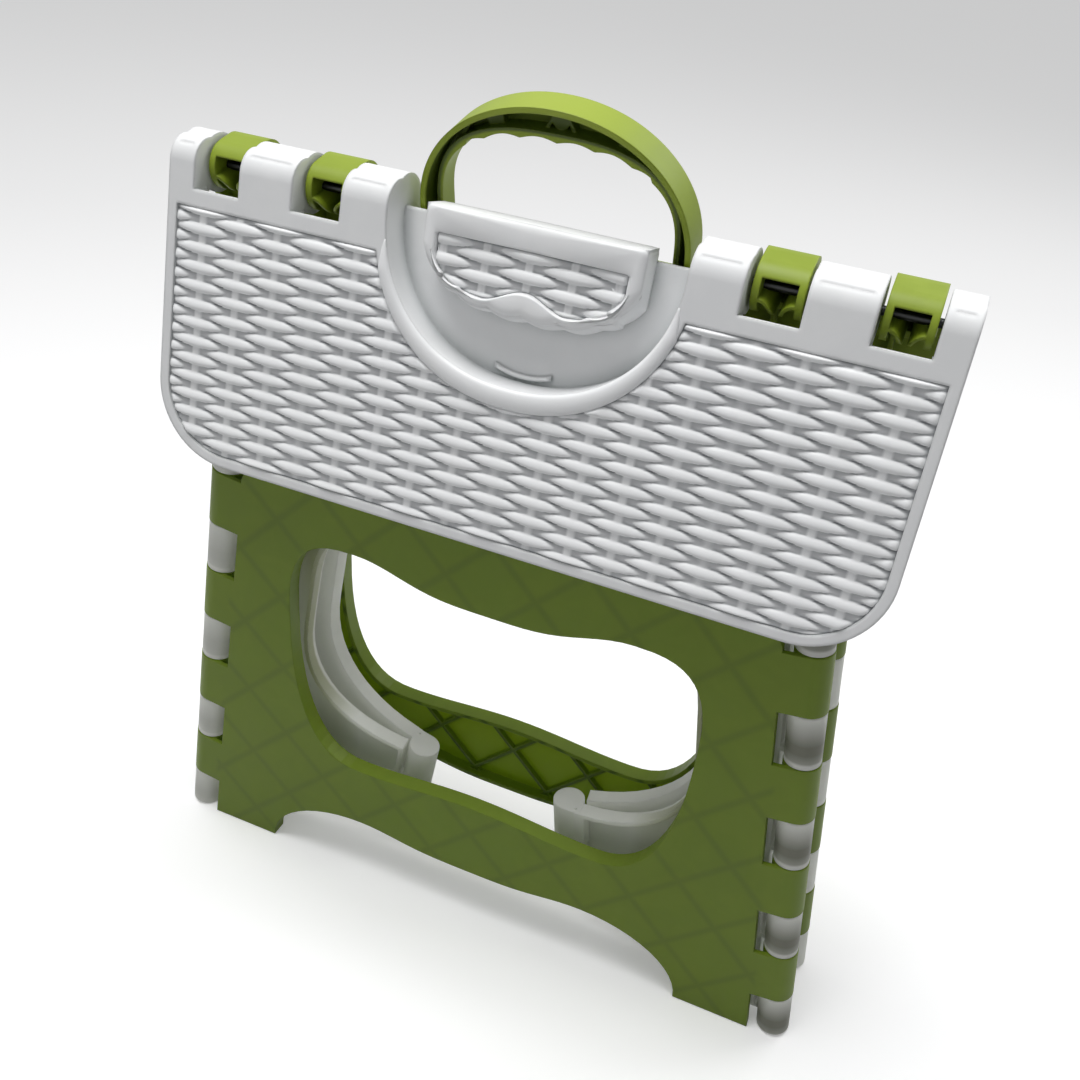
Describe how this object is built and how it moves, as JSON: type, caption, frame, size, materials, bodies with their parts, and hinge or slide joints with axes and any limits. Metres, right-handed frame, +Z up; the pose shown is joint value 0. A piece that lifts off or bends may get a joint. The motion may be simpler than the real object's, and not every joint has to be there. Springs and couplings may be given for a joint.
{
  "type": "folding step stool",
  "caption": "Portable plastic step stool that folds flat, with seat halves on a centre hinge, hollow leg panels, folding side panels and a carry handle.",
  "frame": {"origin": "middle of the footprint, on the floor, with the stool standing part-folded", "axes": "+X along the hinges to the stool's right seen from the front, -Y towards the front (the white seat half), +Z up"},
  "size_m": [0.3198, 0.0778, 0.3739],
  "materials": {
    "white": "satin moulded polypropylene",
    "green": "satin moulded polypropylene",
    "leg_green": "satin moulded polypropylene",
    "milky": "translucent moulded polypropylene",
    "steel": "plain drawn wire"
  },
  "bodies": {
    "leg_front": {"leg_front": "leg_green", "pivot_pin_front_left": "steel", "pivot_pin_front_right": "steel", "column_pin_front_left": "steel", "column_pin_front_right": "steel"},
    "seat_front": {"seat_front": "white", "seat_pin_left": "steel", "seat_pin_right": "steel"},
    "seat_rear": {"seat_rear": "green"},
    "side_left_front": {"side_left_front": "milky", "mid_pin_left_lower": "steel", "mid_pin_left_upper": "steel"},
    "side_left_rear": {"side_left_rear": "milky"},
    "leg_rear": {"leg_rear": "leg_green", "pivot_pin_rear_left": "steel", "pivot_pin_rear_right": "steel", "column_pin_rear_left": "steel", "column_pin_rear_right": "steel"},
    "side_right_front": {"side_right_front": "milky", "mid_pin_right_lower": "steel", "mid_pin_right_upper": "steel"},
    "side_right_rear": {"side_right_rear": "milky"}
  },
  "joints": [
    {"name": "fold", "type": "hinge", "parent": "leg_front", "child": "seat_front", "pos_m": [0, -0.01901, 0.2236], "axis": [-1, 0, 0], "range_deg": [-6, 78]},
    {"name": "seat_hinge", "type": "hinge", "parent": "seat_front", "child": "seat_rear", "pos_m": [0, 0, 0.32844], "axis": [1, 0, 0], "range_deg": [-12, 156]},
    {"name": "column_left_front", "type": "hinge", "parent": "leg_front", "child": "side_left_front", "pos_m": [-0.1528, -0.01901, 0], "axis": [0.134, 0, 0.991], "range_deg": [-6, 78]},
    {"name": "mid_left", "type": "hinge", "parent": "side_left_front", "child": "side_left_rear", "pos_m": [-0.04891, 0, -0.01405], "axis": [0.134, 0, 0.991], "range_deg": [-156, 12]},
    {"name": "column_left_rear", "type": "hinge", "parent": "side_left_rear", "child": "leg_rear", "pos_m": [-0.1528, 0.01901, 0], "axis": [0.134, 0, 0.991], "range_deg": [-6, 78]},
    {"name": "column_right_front", "type": "hinge", "parent": "leg_front", "child": "side_right_front", "pos_m": [0.1528, -0.01901, 0], "axis": [-0.134, 0, 0.991], "range_deg": [-78, 6]},
    {"name": "mid_right", "type": "hinge", "parent": "side_right_front", "child": "side_right_rear", "pos_m": [0.04891, 0, -0.01405], "axis": [-0.134, 0, 0.991], "range_deg": [-12, 156]}
  ],
  "couplings": [
    {"joint": "seat_hinge", "follows": "fold", "ratio": 2},
    {"joint": "column_left_front", "follows": "fold", "ratio": 1},
    {"joint": "mid_left", "follows": "fold", "ratio": -2},
    {"joint": "column_left_rear", "follows": "fold", "ratio": 1},
    {"joint": "column_right_front", "follows": "fold", "ratio": -1},
    {"joint": "mid_right", "follows": "fold", "ratio": 2}
  ]
}
